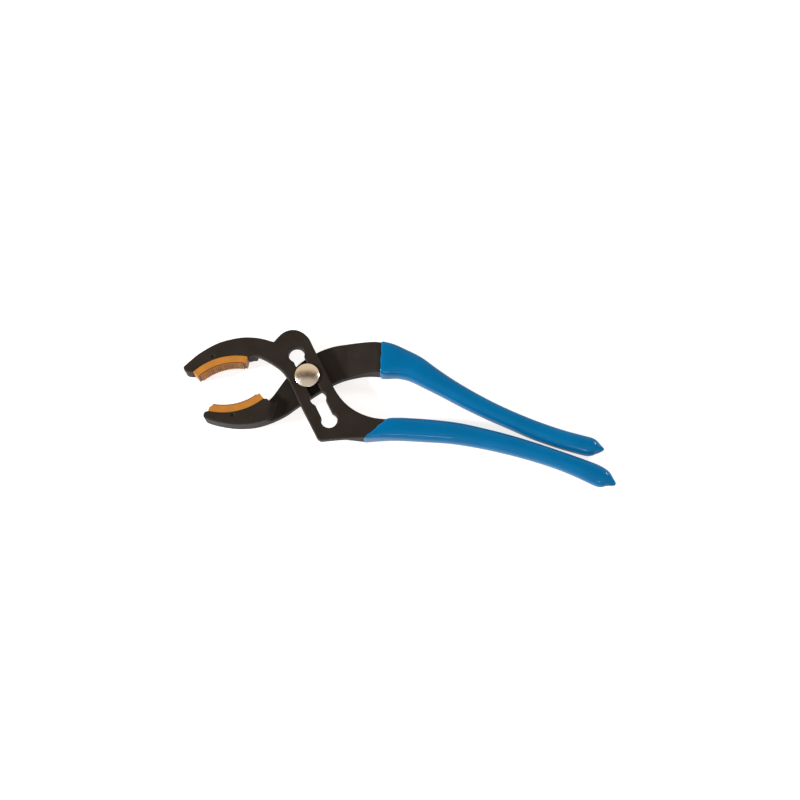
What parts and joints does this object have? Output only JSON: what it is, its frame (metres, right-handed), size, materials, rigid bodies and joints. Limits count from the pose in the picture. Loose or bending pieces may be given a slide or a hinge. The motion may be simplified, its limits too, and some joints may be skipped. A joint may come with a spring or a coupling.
{
  "type": "slip-joint connector pliers",
  "caption": "Slip-joint pliers with curved jaws, soft ribbed pads, a slotted multi-position pivot and dipped handle grips.",
  "frame": {"origin": "on the pivot axis, at the flat back of the nut, which lies in the plane that the tool rests on", "axes": "+X towards the handle ends, +Y towards the handle of the plain lever, +Z along the pivot out of the domed bolt head"},
  "size_m": [0.2532, 0.0714, 0.015],
  "materials": {
    "dark_steel": "forged steel with a dark brown-black phosphate coat, satin",
    "blue_dip": "smooth glossy dipped vinyl",
    "amber_nylon": "moulded nylon, matte",
    "satin_nickel": "satin nickel plate"
  },
  "bodies": {
    "slotted_side": {"slotted_lever": "dark_steel", "lower_grip": "blue_dip", "upper_pad": "amber_nylon", "upper_pad_pin": "dark_steel"},
    "washer": {"pivot_washer": "satin_nickel"},
    "pivot": {"pivot_bolt": "satin_nickel", "pivot_nut": "satin_nickel"},
    "plain_side": {"plain_lever": "dark_steel", "upper_grip": "blue_dip", "lower_pad": "amber_nylon", "lower_pad_pin": "dark_steel"}
  },
  "joints": [
    {"name": "pivot_shift", "type": "slide", "parent": "slotted_side", "child": "washer", "axis": [0.6626, -0.749, 0], "range_m": [-0.0146, 0.0292]},
    {"name": "closing_stop", "type": "hinge", "parent": "washer", "child": "pivot", "pos_m": [0, 0, 0.004], "axis": [0, 0, 1], "range_deg": [-4.4, 8.7]},
    {"name": "handle_open", "type": "hinge", "parent": "pivot", "child": "plain_side", "pos_m": [0, 0, 0.004], "axis": [0, 0, 1], "range_deg": [0, 36]}
  ],
  "couplings": [
    {"joint": "closing_stop", "follows": "pivot_shift", "rad_per_m": 5.12}
  ]
}
